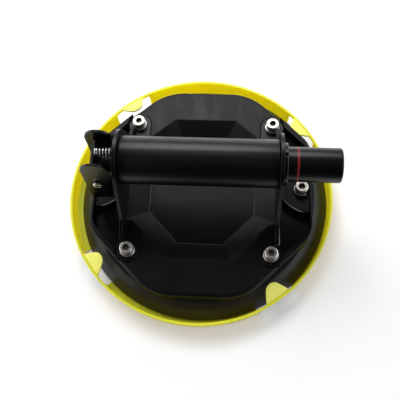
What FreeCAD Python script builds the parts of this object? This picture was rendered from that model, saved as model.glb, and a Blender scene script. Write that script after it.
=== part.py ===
import FreeCAD, Part
import Sketcher
import math
import os

# Hand-pump vacuum lifter with a metal handle, in its clip-on pad cover.
# Frame: origin at the centre of the cover's underside, +Z up, +X along the
# handle towards the plunger. All sizes are millimetres.

doc = FreeCAD.newDocument("suction_lifter")
sheet = doc.addObject("Spreadsheet::Sheet", "sizes")


# ---------------------------------------------------------------- sizes

class Size:
    """A number together with the expression over the sheet that gives it."""

    def __init__(self, value, text):
        self.value = value
        self.text = text

    def joined(self, other, sign, value):
        return Size(value, "(%s %s %s)" % (self.text, sign, as_size(other).text))

    def __add__(self, other):
        return self.joined(other, "+", self.value + as_size(other).value)

    def __sub__(self, other):
        return self.joined(other, "-", self.value - as_size(other).value)

    def __mul__(self, other):
        return self.joined(other, "*", self.value * as_size(other).value)

    def __truediv__(self, other):
        return self.joined(other, "/", self.value / as_size(other).value)

    def __radd__(self, other):
        return as_size(other) + self

    def __rsub__(self, other):
        return as_size(other) - self

    def __rmul__(self, other):
        return as_size(other) * self

    def __neg__(self):
        return as_size(0.0) - self


def as_size(number):
    return number if isinstance(number, Size) else Size(float(number), "%.9g" % number)


SIZES = [
    # pad cover: shallow dish with four hooks over the rubber
    ("cover_room", 5.9),
    ("cover_play", 2.4),
    ("cover_height", 16.0),
    ("cover_wall", 1.8),
    ("cover_floor", 2.0),
    ("cover_draft", 1.2),
    ("cover_corner", 2.6),
    ("hook_angle", 37.5),
    ("hook_count", 4),
    ("hook_base", 23.6),
    ("hook_tip", 12.0),
    ("hook_reach", 13.5),
    ("hook_rise", 6.5),
    ("hook_sheet", 2.0),
    ("hook_nose", 7.0),
    ("window_width", 34.0),
    ("window_depth", 12.0),
    ("window_top", 13.2),
    # rubber vacuum pad
    ("pad_radius", 102.2),
    ("pad_shoulder", 89.5),
    ("lip_width", 3.0),
    ("lip_height", 3.0),
    ("lip_inner", 1.8),
    ("flank_bulge", 22.0),
    ("pad_ceiling", 5.0),
    ("pad_rubber", 6.0),
    ("rib_height", 1.2),
    ("rib_width", 2.0),
    ("rib_inner", 34.0),
    ("rib_pitch", 17.0),
    # backing plate bonded in the pad
    ("plate_radius", 84.0),
    ("plate_sheet", 4.0),
    ("bond_gap", 0.2),
    # moulded base
    ("base_half_x", 87.0),
    ("base_half_y", 89.0),
    ("base_cut_x", 36.2),
    ("base_cut_y", 38.2),
    ("base_round_end", 42.0),
    ("base_round_side", 24.0),
    ("base_crown", 14.5),
    ("base_edge", 10.5),
    ("base_top_round", 3.0),
    ("rim_height", 16.5),
    ("rim_side", 2.0),
    ("rim_corner", 4.2),
    ("pocket_depth", 9.5),
    ("pocket_inner_x", 61.8),
    ("pocket_round", 16.0),
    ("island_half", 20.0),
    ("island_neck", 4.5),
    ("island_bow", 29.0),
    ("recess_floor_z", 6.0),
    ("recess_top_z", 15.0),
    ("recess_half_x", 42.3),
    ("recess_half_y", 45.8),
    ("recess_flat_x", 17.8),
    ("recess_flat_y", 20.0),
    ("recess_spread", 0.5),
    ("recess_slope", 2.2),
    ("recess_round", 3.0),
    # screws that join the brackets, base and plate
    ("screw_x", 55.4),
    ("screw_y", 55.1),
    ("side_screw_x", 78.6),
    ("screw_radius", 3.0),
    ("screw_hole", 3.3),
    ("screw_head_radius", 5.1),
    ("screw_head_height", 6.0),
    ("screw_head_round", 0.9),
    ("screw_socket", 5.0),
    ("screw_socket_depth", 3.2),
    ("washer_radius", 6.3),
    ("washer_sheet", 1.4),
    ("washer_room", 0.4),
    ("nut_flats", 10.0),
    ("nut_height", 4.6),
    ("nut_gap", 0.3),
    # brackets
    ("bracket_inner", 58.1),
    ("bracket_sheet", 2.5),
    ("seat_z", 11.0),
    ("seat_gap", 0.3),
    ("foot_radius", 9.2),
    ("foot_back_y", 31.0),
    ("upright_head", 22.5),
    ("waist_y", 36.0),
    ("waist_z", 47.0),
    ("shoulder_y", 49.0),
    ("shoulder_z", 40.0),
    ("upright_gap", 0.6),
    ("bend_radius", 2.0),
    # handle and pump
    ("handle_height", 77.0),
    ("handle_radius", 17.8),
    ("handle_bore", 14.9),
    ("handle_chamfer", 0.8),
    ("barrel_radius", 14.6),
    ("barrel_bore", 13.6),
    ("barrel_fit", 0.2),
    ("gland_radius", 15.6),
    ("gland_flange", 3.2),
    ("gland_spigot", 6.0),
    ("gland_bore", 12.76),
    ("gland_notch", 3.0),
    ("gland_notch_depth", 1.6),
    ("plunger_radius", 12.7),
    ("plunger_wall", 2.2),
    ("plunger_stub", 0.9),
    ("plunger_nose", 1.6),
    ("travel", 38.0),
    ("ring_from_gland", 6.4),
    ("ring_width", 1.6),
    ("ring_depth", 1.0),
    ("piston_radius", 13.5),
    ("piston_length", 8.0),
    ("piston_spigot", 6.0),
    ("piston_fit", 0.05),
    ("seal_width", 3.0),
    ("seal_depth", 2.0),
    ("seal_fit", 0.06),
    ("return_coil", 9.6),
    ("return_wire", 1.4),
    ("return_turns", 9),
    ("spring_gap", 0.3),
    # barrel head, with its outer nose
    ("head_length", 14.0),
    ("head_radius", 13.5),
    ("nose_drop", 5.0),
    ("nose_radius", 7.5),
    ("nose_length", 11.0),
    ("nose_root", 1.0),
    ("nose_fit", 0.2),
    ("oring_wire", 1.0),
    ("oring_slack", 0.05),
    ("stem_radius", 2.0),
    ("stem_fit", 0.05),
    ("stem_head", 3.4),
    ("stem_head_sheet", 2.0),
    ("chamber_radius", 4.2),
    ("chamber_depth", 11.0),
    ("bush_radius", 3.6),
    ("bush_length", 4.0),
    ("bush_flange", 4.4),
    ("bush_flange_sheet", 0.8),
    ("flap_radius", 4.2),
    ("flap_sheet", 1.2),
    ("flap_stem", 1.5),
    ("flap_rise", 4.2),
    # release lever
    ("pivot_x", 76.0),
    ("pivot_drop", 12.0),
    ("lever_inner", 12.5),
    ("lever_sheet", 2.0),
    ("lever_web_x", 75.5),
    ("lever_web_low", 4.6),
    ("lever_web_high", 25.0),
    ("lever_brow", 22.5),
    ("lever_foot", 27.0),
    ("lever_near_x", 64.6),
    ("lever_far_x", 84.8),
    ("lever_foot_near_x", 69.0),
    ("lever_foot_far_x", 85.5),
    ("lever_head_round", 10.3),
    ("lever_foot_round", 4.0),
    ("stem_reach_gap", 0.3),
    ("pin_radius", 2.5),
    ("pin_fit", 0.06),
    ("pin_head_radius", 3.5),
    ("pin_head_height", 2.2),
    ("pin_socket", 3.0),
    ("pin_socket_depth", 1.4),
    ("pin_nut_flats", 8.0),
    ("pin_nut_height", 3.2),
    ("pin_gap", 0.15),
    ("clevis_sheet", 1.8),
    ("clevis_gap", 0.3),
    ("clevis_low", 14.0),
    ("clevis_plate", 1.3),
    ("clevis_high", 3.8),
    ("clevis_round", 5.5),
    ("clevis_reach", 4.5),
    ("rivet_inset", 6.7),
    ("rivet_radius", 1.6),
    ("rivet_head", 2.8),
    ("rivet_head_height", 1.0),
    ("spring_rise", 11.0),
    ("spring_coil", 4.4),
    ("spring_wire", 1.0),
    ("spring_turns", 7),
    ("post_radius", 3.0),
    ("post_length", 4.5),
    # chamfer of small turned edges
    ("edge_break", 0.5),
    # vacuum line from the nose down to the base
    ("hose_x", 66.4),
    ("hose_radius", 3.6),
    ("hose_bore", 2.1),
    ("barb_radius", 2.0),
    ("barb_bore", 1.1),
    ("barb_flange", 3.4),
    ("barb_flange_sheet", 1.5),
    ("barb_length", 7.0),
    ("barb_taper", 2.0),
    ("barb_thread", 3.0),
    ("port_hex", 8.0),
    ("port_hex_height", 4.0),
    ("filter_radius", 4.0),
    ("filter_sheet", 1.5),
]


class Sizes:
    """The driving sizes, by name."""


S = Sizes()
for row, (alias, number) in enumerate(SIZES, start=1):
    sheet.set("A%d" % row, alias)
    sheet.set("B%d" % row, "%g" % number)
    sheet.setAlias("B%d" % row, alias)
    setattr(S, alias, Size(float(number), "sizes." + alias))
doc.recompute()

# heights of the stack, from the floor up
pad_under_z = S.cover_floor + S.pad_ceiling
plate_z = pad_under_z + S.pad_rubber
base_z = plate_z + S.plate_sheet
seat_top_z = base_z + S.seat_z
foot_top_z = seat_top_z + S.bracket_sheet
island_z = foot_top_z
pocket_z = base_z + S.rim_height - S.pocket_depth
nose_z = S.handle_height - S.nose_drop
bracket_outer = S.bracket_inner + S.bracket_sheet
cover_radius = S.pad_radius + S.cover_room
pivot_z = S.handle_height - S.pivot_drop
spring_z = S.handle_height + S.spring_rise
lever_brow_z = pivot_z + S.lever_brow
lever_top_z = lever_brow_z + S.lever_head_round
lever_foot_z = pivot_z - S.lever_foot
clevis_low_z = pivot_z - S.clevis_low
clevis_high_z = pivot_z + S.clevis_high
clevis_plate_z = pivot_z - S.clevis_plate
head_face_x = S.head_length - S.bracket_inner
nose_face_x = -(bracket_outer + S.nose_length)
plunger_face_x = bracket_outer + S.gland_flange + S.travel + S.plunger_stub
gland_end_x = bracket_outer - S.gland_spigot
piston_face_x = gland_end_x - S.spring_gap
piston_back_x = piston_face_x - S.piston_length
seal_radius = S.barrel_bore - S.seal_fit
clevis_half = S.lever_inner - S.clevis_gap
rivet_y = clevis_half - S.rivet_inset
rivet_z = (clevis_low_z + clevis_plate_z) / 2


# ---------------------------------------------------------------- helpers

def new_body(label):
    return doc.addObject("PartDesign::Body", label)


def sketch_on(body, role, offset=None):
    """A sketch on one of the body's own origin planes, moved along its normal."""
    plane = [f for f in body.Origin.OriginFeatures if f.Role == role][0]
    sketch = body.newObject("Sketcher::SketchObject", body.Label + "_sketch")
    sketch.AttachmentSupport = [(plane, "")]
    sketch.MapMode = "FlatFace"
    if offset is not None:
        offset = as_size(offset)
        sketch.AttachmentOffset = FreeCAD.Placement(
            FreeCAD.Vector(0, 0, offset.value), FreeCAD.Rotation())
        sketch.setExpression("AttachmentOffset.Base.z", offset.text)
    return sketch


def place(sketch, geometry, point, x, y):
    """Hold one end or centre of a curve at (x, y) measured from the origin."""
    for kind, value, axis in (("DistanceX", x, -2), ("DistanceY", y, -1)):
        value = as_size(value)
        if value.text == "0":
            sketch.addConstraint(
                Sketcher.Constraint("PointOnObject", geometry, point, axis))
        else:
            number = sketch.addConstraint(Sketcher.Constraint(
                kind, -1, 1, geometry, point, value.value))
            sketch.setExpression("Constraints[%d]" % number, value.text)


def arc_between(start, end, radius, left):
    """The short arc from start to end, with its centre on the left or right."""
    chord = end - start
    half = chord.Length / 2
    rise = math.sqrt(max(radius * radius - half * half, 0.0))
    side = FreeCAD.Vector(-chord.y, chord.x, 0).normalize() * (rise if left else -rise)
    centre = start + chord / 2 + side
    first, last = (start, end) if left else (end, start)
    angles = [math.atan2(p.y - centre.y, p.x - centre.x) for p in (first, last)]
    circle = Part.Circle(centre, FreeCAD.Vector(0, 0, 1), radius)
    return Part.ArcOfCircle(circle, angles[0], angles[1])


def outline(sketch, points):
    """A closed outline. A point is (x, y), or (x, y, radius, left) where the
    stretch that leads to it is an arc."""
    corners = [FreeCAD.Vector(as_size(p[0]).value, as_size(p[1]).value, 0)
               for p in points]
    first = len(sketch.Geometry)
    curves = []
    heads = []
    for index, point in enumerate(points):
        following = points[(index + 1) % len(points)]
        start = corners[index]
        end = corners[(index + 1) % len(points)]
        if len(following) == 4:
            radius = as_size(following[2]).value
            curves.append(arc_between(start, end, radius, following[3]))
            heads.append((1, 2) if following[3] else (2, 1))
        else:
            curves.append(Part.LineSegment(start, end))
            heads.append((1, 2))
    sketch.addGeometry(curves, False)
    count = len(points)
    for index in range(count):
        after = (index + 1) % count
        sketch.addConstraint(Sketcher.Constraint(
            "Coincident", first + index, heads[index][1],
            first + after, heads[after][0]))
    for index, point in enumerate(points):
        place(sketch, first + index, heads[index][0], point[0], point[1])
        following = points[(index + 1) % count]
        if len(following) == 4:
            radius = as_size(following[2])
            number = sketch.addConstraint(Sketcher.Constraint(
                "Radius", first + index, radius.value))
            sketch.setExpression("Constraints[%d]" % number, radius.text)
    return sketch


def circle(sketch, x, y, radius):
    x, y, radius = as_size(x), as_size(y), as_size(radius)
    number = len(sketch.Geometry)
    sketch.addGeometry(Part.Circle(FreeCAD.Vector(x.value, y.value, 0),
                                   FreeCAD.Vector(0, 0, 1), radius.value), False)
    if x.text == "0" and y.text == "0":
        sketch.addConstraint(Sketcher.Constraint("Coincident", number, 3, -1, 1))
    else:
        place(sketch, number, 3, x, y)
    index = sketch.addConstraint(Sketcher.Constraint("Radius", number, radius.value))
    sketch.setExpression("Constraints[%d]" % index, radius.text)
    return sketch


def hexagon(sketch, x, y, flats, turned=False):
    """A regular hexagon with two flats along the sketch's x axis, or its y axis."""
    x, y = as_size(x), as_size(y)
    corner = flats / math.sqrt(3)
    half = corner / 2
    side = flats / 2
    points = [(corner, as_size(0)), (half, side), (-half, side),
              (-corner, as_size(0)), (-half, -side), (half, -side)]
    if turned:
        points = [(-b, a) for a, b in points]
    outline(sketch, [(x + a, y + b) for a, b in points])
    return sketch


def extrude(body, kind, sketch, length, symmetric=False, backwards=False):
    feature = body.newObject(kind, body.Label + "_" + kind.split("::")[1].lower())
    feature.Profile = sketch
    feature.setExpression("Length", as_size(length).text)
    feature.SideType = "Symmetric" if symmetric else "One side"
    feature.Reversed = backwards
    return feature


def pad(body, sketch, length, symmetric=False, backwards=False):
    return extrude(body, "PartDesign::Pad", sketch, length, symmetric, backwards)


def pocket(body, sketch, length, symmetric=False, backwards=False):
    return extrude(body, "PartDesign::Pocket", sketch, length, symmetric, backwards)


def turn(body, sketch, axis, kind="Revolution"):
    """Turn a profile right round one of its sketch's own axes."""
    feature = body.newObject("PartDesign::" + kind, body.Label + "_" + kind.lower())
    feature.Profile = sketch
    feature.ReferenceAxis = (sketch, [axis])
    feature.Angle = 360
    return feature


def edges_where(shape, wanted):
    """Names of the edges for which wanted(edge) is true."""
    return ["Edge%d" % number for number, edge in enumerate(shape.Edges, start=1)
            if wanted(edge)]


def soften(body, kind, wanted, size):
    """Fillet or chamfer the body's edges for which wanted(edge) is true."""
    doc.recompute()
    base = body.Tip
    names = edges_where(base.Shape, wanted)
    if not names:
        raise RuntimeError("no edges to soften on " + body.Label)
    feature = body.newObject("PartDesign::" + kind, body.Label + "_" + kind.lower())
    feature.Base = (base, names)
    feature.setExpression("Radius" if kind == "Fillet" else "Size", as_size(size).text)
    body.Tip = feature
    return feature


def near(value, size, slack=0.01):
    return abs(value - as_size(size).value) < slack


def upright(edge):
    """True for a straight edge that stands up."""
    box = edge.BoundBox
    return box.ZLength > 1 and box.XLength + box.YLength < 0.01


def round_at(axis, radius, height):
    """Tests for a full circle about a body axis, at one place along it."""
    def wanted(edge):
        curve = edge.Curve
        return (isinstance(curve, Part.Circle) and near(curve.Radius, radius)
                and near(getattr(curve.Center, axis), height))
    return wanted


def lift(body, x=0, y=0, z=0):
    """Move a body, with its place bound to the sheet."""
    for letter, value in (("x", x), ("y", y), ("z", z)):
        value = as_size(value)
        if value.text != "0":
            body.setExpression("Placement.Base." + letter, value.text)


def screw_places():
    """The six screws: four on the bracket feet and one on each side."""
    corners = [(sx * S.screw_x, sy * S.screw_y) for sx in (-1, 1) for sy in (-1, 1)]
    return corners + [(-S.side_screw_x, 0), (1 * S.side_screw_x, 0)]


def group(label, bodies):
    """Several separate solids under one label."""
    compound = doc.addObject("Part::Compound", label)
    compound.Links = bodies
    return compound


parts = []


# ---------------------------------------------------------------- pad cover

def around_z(body, label, original, count):
    """Repeat a feature evenly about the body's own upright axis."""
    ring = body.newObject("PartDesign::PolarPattern", label)
    ring.Originals = [original]
    axis = [f for f in body.Origin.OriginFeatures if f.Role == "Z_Axis"][0]
    ring.Axis = (axis, [""])
    ring.Angle = 360
    ring.setExpression("Occurrences", count.text)
    body.Tip = ring


def make_pad_cover():
    body = new_body("pad_cover")
    inner = cover_radius - S.cover_wall
    turn(body, outline(sketch_on(body, "XZ_Plane"), [
        (0, 0), (cover_radius - S.cover_draft, 0), (cover_radius, S.cover_height),
        (inner, S.cover_height), (inner - S.cover_draft, S.cover_floor),
        (0, S.cover_floor)]), "V_Axis")
    soften(body, "Fillet", round_at("z", cover_radius - S.cover_draft, 0),
           S.cover_corner)
    # the hooks start as upright blocks on the wall ...
    tip = cover_radius - S.hook_reach
    root = cover_radius - S.cover_wall / 2
    shoulder = tip + S.hook_reach / 4
    block_z = S.cover_height - 3 * S.hook_sheet
    blocks = pad(body, outline(sketch_on(body, "XY_Plane", block_z), [
        (root, -S.hook_base / 2), (root, S.hook_base / 2),
        (shoulder, S.hook_tip / 2),
        (shoulder, -S.hook_tip / 2, S.hook_nose, True)]),
        3 * S.hook_sheet + S.hook_rise + S.hook_sheet)
    around_z(body, "pad_cover_hooks", blocks, S.hook_count)
    doc.recompute()
    # ... and a cut above and one below leave the leaning sheet
    past = S.hook_sheet / 2
    over_z = S.cover_height + 2 * S.hook_rise + S.hook_sheet
    turn(body, outline(sketch_on(body, "XZ_Plane"), [
        (cover_radius + past, S.cover_height), (cover_radius + past, over_z),
        (tip - past, over_z), (tip - past, S.cover_height + S.hook_rise),
        (inner, S.cover_height)]), "V_Axis", "Groove")
    wall_low = inner - S.cover_draft * (S.cover_height - block_z) / S.cover_height
    wall_high = inner - S.cover_draft * S.hook_sheet / S.cover_height
    turn(body, outline(sketch_on(body, "XZ_Plane"), [
        (wall_low - S.stem_fit, block_z - past),
        (wall_high - S.stem_fit, S.cover_height - S.hook_sheet),
        (tip - past, S.cover_height + S.hook_rise - S.hook_sheet),
        (tip - past, block_z - past)]), "V_Axis", "Groove")
    # a moulding window under each hook, open through the floor and the wall
    half = S.window_width / 2
    far = cover_radius + S.cover_wall
    cut = pocket(body, outline(sketch_on(body, "XY_Plane"), [
        (inner - S.window_depth, -half), (far, -half), (far, half),
        (inner - S.window_depth, half)]), S.window_top, backwards=True)
    around_z(body, "pad_cover_windows", cut, S.hook_count)
    body.Placement.Rotation = FreeCAD.Rotation(FreeCAD.Vector(0, 0, 1),
                                               S.hook_angle.value)
    body.setExpression("Placement.Rotation.Angle", S.hook_angle.text)
    # the cover fits loosely and hangs a little to one side
    lift(body, x=-S.cover_play)
    return body


# ---------------------------------------------------------------- rubber pad

def make_vacuum_pad():
    body = new_body("vacuum_pad")
    seat = S.plate_radius + S.bond_gap
    turn(body, outline(sketch_on(body, "XZ_Plane"), [
        (0, pad_under_z), (S.plate_radius, pad_under_z),
        (S.pad_radius - 2 * S.lip_width, S.cover_floor + S.lip_inner),
        (S.pad_radius - S.lip_width, S.cover_floor), (S.pad_radius, S.cover_floor),
        (S.pad_radius, S.cover_floor + S.lip_height),
        (S.pad_shoulder, base_z, S.flank_bulge, True),
        (seat, base_z), (seat, plate_z), (0, plate_z)]), "V_Axis")
    # concentric grip ribs under the ceiling
    ribs = sketch_on(body, "XZ_Plane")
    for step in range(3):
        middle = S.rib_inner + step * S.rib_pitch
        outline(ribs, [
            (middle - S.rib_width / 2, pad_under_z + S.rib_height),
            (middle - S.rib_width / 2, pad_under_z),
            (middle - S.rib_width / 4, pad_under_z - S.rib_height),
            (middle + S.rib_width / 4, pad_under_z - S.rib_height),
            (middle + S.rib_width / 2, pad_under_z),
            (middle + S.rib_width / 2, pad_under_z + S.rib_height)])
    turn(body, ribs, "V_Axis")
    # blind pockets for the nuts under the plate
    nuts = sketch_on(body, "XY_Plane", plate_z)
    for x, y in screw_places():
        hexagon(nuts, x, y, S.nut_flats + 2 * S.nut_gap)
    pocket(body, nuts, S.nut_height + S.nut_gap)
    # air passage and the seat of its filter
    pocket(body, circle(sketch_on(body, "XY_Plane", plate_z), -S.hose_x, 0,
                        S.barb_radius), S.pad_rubber + S.rib_height)
    pocket(body, circle(sketch_on(body, "XY_Plane", pad_under_z), -S.hose_x, 0,
                        S.filter_radius + S.bond_gap), S.filter_sheet,
           backwards=True)
    return body


def make_filter_disc():
    body = new_body("filter_disc")
    turn(body, outline(sketch_on(body, "XZ_Plane"), [
        (0, 0), (S.filter_radius, 0), (S.filter_radius, S.filter_sheet),
        (0, S.filter_sheet)]), "V_Axis")
    lift(body, x=-S.hose_x, z=pad_under_z)
    return body


def make_pad_plate():
    body = new_body("pad_plate")
    disc = circle(sketch_on(body, "XY_Plane", plate_z), 0, 0, S.plate_radius)
    for x, y in screw_places():
        circle(disc, x, y, S.screw_hole)
    circle(disc, -S.hose_x, 0, S.barb_radius)
    pad(body, disc, S.plate_sheet)
    return body


# ---------------------------------------------------------------- base moulding

def base_outline(sketch):
    """The base's eight sided plan."""
    x, y = 1 * S.base_half_x, 1 * S.base_half_y
    cut_x, cut_y = 1 * S.base_cut_x, 1 * S.base_cut_y
    outline(sketch, [
        (cut_x, -y), (x, -cut_y), (x, cut_y), (cut_x, y),
        (-cut_x, y), (-x, cut_y), (-x, -cut_y), (-cut_x, -y)])
    return sketch


def recess_outline(sketch, spread):
    """The eight sided floor of the middle recess, let out by spread."""
    x, y = S.recess_half_x + spread, S.recess_half_y + spread
    flat_x = S.recess_flat_x + spread * S.recess_spread
    flat_y = S.recess_flat_y + spread * S.recess_spread
    outline(sketch, [
        (flat_x, -y), (x, -flat_y), (x, flat_y), (flat_x, y),
        (-flat_x, y), (-x, flat_y), (-x, -flat_y), (-flat_x, -y)])
    return sketch


def in_well(edge, floor_z):
    """Edges round the recess floor and the slanting corners above it."""
    box = edge.BoundBox
    inside = box.XMax < S.pocket_inner_x.value and box.XMin > -S.pocket_inner_x.value
    return inside and (near(box.ZMax, floor_z)
                       or (near(box.ZMin, floor_z) and box.ZLength > 1))


def foot_outline(sketch, sx, sy, gap):
    """One bracket foot, round about its screw and let out by gap."""
    x, y, r = S.screw_x, S.screw_y, S.foot_radius + gap
    outer = bracket_outer + gap
    back = S.foot_back_y - gap
    reach = (outer - x).value
    meet = y - math.sqrt(r.value ** 2 - reach ** 2)
    start = S.bracket_inner - 2 * S.bend_radius
    bulge = sx * sy < 0
    points = [
        (outer, back), (start, back), (x - r, back + start - x + r),
        (x - r, y), (x, y + r, r, bulge), (x + r, y, r, bulge),
        (outer, meet, r, bulge)]
    outline(sketch, [(sx * p[0], sy * p[1]) + tuple(p[2:]) for p in points])
    return sketch


def make_base_body():
    body = new_body("base_body")
    pad(body, base_outline(sketch_on(body, "XY_Plane", base_z)),
        S.rim_height)
    soften(body, "Fillet", lambda e: upright(e)
           and near(abs(e.CenterOfMass.y), S.base_half_y), S.base_round_end)
    soften(body, "Fillet", lambda e: upright(e)
           and near(abs(e.CenterOfMass.x), S.base_half_x)
           and near(abs(e.CenterOfMass.y), S.base_cut_y), S.base_round_side)
    # crowned top between the brackets, in front and behind
    crown_z = base_z + S.base_crown
    edge_z = base_z + S.base_edge
    reach = S.base_half_y * 1.1
    fall = S.base_crown - S.base_edge
    crown_radius = (reach * reach + fall * fall) / (2 * fall)
    crown = outline(sketch_on(body, "YZ_Plane"), [
        (-reach, edge_z), (reach, edge_z, crown_radius, False),
        (reach, base_z + 2 * S.rim_height), (-reach, base_z + 2 * S.rim_height)])
    pocket(body, crown, 2 * S.pocket_inner_x, symmetric=True)
    soften(body, "Fillet", lambda e: e.BoundBox.XLength > 20
           and abs(e.CenterOfMass.y) > S.base_half_y.value - 12
           and e.CenterOfMass.z > edge_z.value - S.base_top_round.value
           and e.BoundBox.YLength < 12, S.base_top_round)
    # middle recess with sloping sides
    rise = S.recess_top_z - S.recess_floor_z
    floor = recess_outline(sketch_on(body, "XY_Plane", base_z + S.recess_floor_z),
                           as_size(0))
    mouth = recess_outline(sketch_on(body, "XY_Plane", base_z + S.recess_top_z),
                           rise * S.recess_slope)
    well = body.newObject("PartDesign::SubtractiveLoft", "base_body_well")
    well.Profile = floor
    well.Sections = [(mouth, [""])]
    well.Ruled = True
    body.Tip = well
    floor_z = base_z + S.recess_floor_z
    soften(body, "Fillet", lambda e: in_well(e, floor_z), S.recess_round)
    # side pockets inside a raised rim, each with its screw island
    slope = (S.base_half_y - S.base_cut_y) / (S.base_half_x - S.base_cut_x)
    wall_x = S.base_half_x - S.rim_side
    wall_y = S.base_cut_y - S.rim_corner
    near_x = 1 * S.pocket_inner_x
    for side in (-1, 1):
        far_y = wall_y + slope * (wall_x - near_x)
        pocket(body, outline(sketch_on(body, "XY_Plane", base_z + S.rim_height), [
            (side * near_x, -far_y), (side * wall_x, -wall_y), (side * wall_x, wall_y),
            (side * near_x, far_y)]), S.pocket_depth)
    soften(body, "Fillet", lambda e: upright(e)
           and near(abs(e.CenterOfMass.x), wall_x)
           and near(abs(e.CenterOfMass.y), wall_y), S.pocket_round)
    for side in (-1, 1):
        edge = S.base_half_x - S.rim_side / 2
        root = near_x - S.rim_side
        left = side < 0
        pad(body, outline(sketch_on(body, "XY_Plane", pocket_z - S.bracket_sheet), [
            (side * root, S.island_neck), (side * near_x, 1 * S.island_neck),
            (side * edge, 1 * S.island_half, S.island_bow, left),
            (side * edge, -S.island_half),
            (side * near_x, -S.island_neck, S.island_bow, left),
            (side * root, -S.island_neck)]), island_z - pocket_z + S.bracket_sheet)
    # flat seats under the bracket feet and the screw holes
    seats = sketch_on(body, "XY_Plane", base_z + 2 * S.rim_height)
    for sx in (-1, 1):
        for sy in (-1, 1):
            foot_outline(seats, sx, sy, S.seat_gap)
    pocket(body, seats, 2 * S.rim_height - S.seat_z)
    bores = sketch_on(body, "XY_Plane", base_z + 2 * S.rim_height)
    for side in (-1, 1):
        circle(bores, side * S.side_screw_x, 0, S.washer_radius + S.washer_room)
    pocket(body, bores, 2 * S.rim_height + base_z - island_z)
    holes = sketch_on(body, "XY_Plane", base_z + 2 * S.rim_height)
    for x, y in screw_places():
        circle(holes, x, y, S.screw_hole)
    circle(holes, -S.hose_x, 0, S.barb_radius)
    pocket(body, holes, 3 * S.rim_height)
    return body


# ---------------------------------------------------------------- fasteners

def make_screws():
    bodies = []
    for number, (x, y) in enumerate(screw_places()):
        body = new_body("screw_%d" % number)
        head, top = S.screw_head_radius, S.screw_head_height
        low = -(S.washer_sheet + foot_top_z - plate_z + S.nut_height)
        turn(body, outline(sketch_on(body, "XZ_Plane"), [
            (0, low), (S.screw_radius, low), (S.screw_radius, 0), (head, 0),
            (head, top - S.screw_head_round),
            (head - S.screw_head_round, top, S.screw_head_round, True),
            (0, top)]), "V_Axis")
        pocket(body, hexagon(sketch_on(body, "XY_Plane", S.screw_head_height), 0, 0,
                             S.screw_socket), S.screw_socket_depth)
        lift(body, x=x, y=y, z=foot_top_z + S.washer_sheet)
        bodies.append(body)
    return group("mounting_screws", bodies)


def make_washers():
    bodies = []
    for number, (x, y) in enumerate(screw_places()):
        body = new_body("washer_%d" % number)
        ring = circle(sketch_on(body, "XY_Plane"), 0, 0, S.washer_radius)
        circle(ring, 0, 0, S.screw_hole)
        pad(body, ring, S.washer_sheet)
        lift(body, x=x, y=y, z=foot_top_z)
        bodies.append(body)
    return group("screw_washers", bodies)


def make_nuts():
    bodies = []
    for number, (x, y) in enumerate(screw_places()):
        body = new_body("nut_%d" % number)
        ring = hexagon(sketch_on(body, "XY_Plane"), 0, 0, S.nut_flats)
        circle(ring, 0, 0, S.screw_radius + S.stem_fit)
        pad(body, ring, S.nut_height)
        lift(body, x=x, y=y, z=plate_z - S.nut_height)
        bodies.append(body)
    return group("plate_nuts", bodies)


# ---------------------------------------------------------------- brackets

def make_bracket(label, side):
    body = new_body(label)
    start = S.bracket_inner if side > 0 else -bracket_outer
    head_z = S.handle_height
    top = S.upright_head
    low = seat_top_z
    clear = base_z + S.base_crown + S.upright_gap
    # from the waist a straight flank runs tangent to the round head
    dy, dz = S.waist_y.value, head_z.value - S.waist_z.value
    lean = math.atan2(dz, dy) + math.asin(top.value / math.hypot(dy, dz))
    touch_y, touch_z = top * math.sin(lean), head_z + top * math.cos(lean)
    outline_points = [
        (-S.foot_back_y, low), (-S.foot_back_y, clear), (1 * S.foot_back_y, clear),
        (1 * S.foot_back_y, low), (1 * S.shoulder_y, low),
        (1 * S.shoulder_y, 1 * S.shoulder_z), (1 * S.waist_y, 1 * S.waist_z),
        (touch_y, touch_z), (0, head_z + top, top, True),
        (-touch_y, touch_z, top, True), (-S.waist_y, 1 * S.waist_z),
        (-S.shoulder_y, 1 * S.shoulder_z), (-S.shoulder_y, low)]
    pad(body, outline(sketch_on(body, "YZ_Plane", start), outline_points),
        S.bracket_sheet)
    feet = sketch_on(body, "XY_Plane", low)
    for sy in (-1, 1):
        foot_outline(feet, side, sy, as_size(0))
    pad(body, feet, S.bracket_sheet)
    hole = sketch_on(body, "YZ_Plane", start)
    if side > 0:
        circle(hole, 0, head_z, S.barrel_radius + S.barrel_fit)
    else:
        circle(hole, 0, nose_z, S.nose_radius + S.nose_fit)
    pocket(body, hole, 3 * S.bracket_sheet, symmetric=True)
    fasten = sketch_on(body, "XY_Plane", low)
    for sy in (-1, 1):
        circle(fasten, side * S.screw_x, sy * S.screw_y, S.screw_hole)
    pocket(body, fasten, 3 * S.bracket_sheet, symmetric=True)
    if side < 0:
        rivets = sketch_on(body, "YZ_Plane", start)
        for sy in (-1, 1):
            circle(rivets, sy * rivet_y, rivet_z, S.rivet_radius)
        pocket(body, rivets, 3 * S.bracket_sheet, symmetric=True)
    return body


# ---------------------------------------------------------------- handle and pump

def on_handle_axis(label, profile, **place_at):
    """A turned piece about the handle's axis; the profile is (x, radius)."""
    body = new_body(label)
    turn(body, outline(sketch_on(body, "XZ_Plane"), profile), "H_Axis")
    lift(body, z=S.handle_height, **place_at)
    return body


def make_handle_tube():
    x, r, c = S.bracket_inner, S.handle_radius, S.handle_chamfer
    return on_handle_axis("handle_tube", [
        (-x, S.handle_bore), (-x, r - c), (c - x, r), (x - c, r), (x, r - c),
        (x, S.handle_bore)])


def make_pump_barrel():
    return on_handle_axis("pump_barrel", [
        (-S.bracket_inner, S.barrel_bore), (-S.bracket_inner, S.barrel_radius),
        (bracket_outer, S.barrel_radius), (bracket_outer, S.barrel_bore)])


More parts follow.
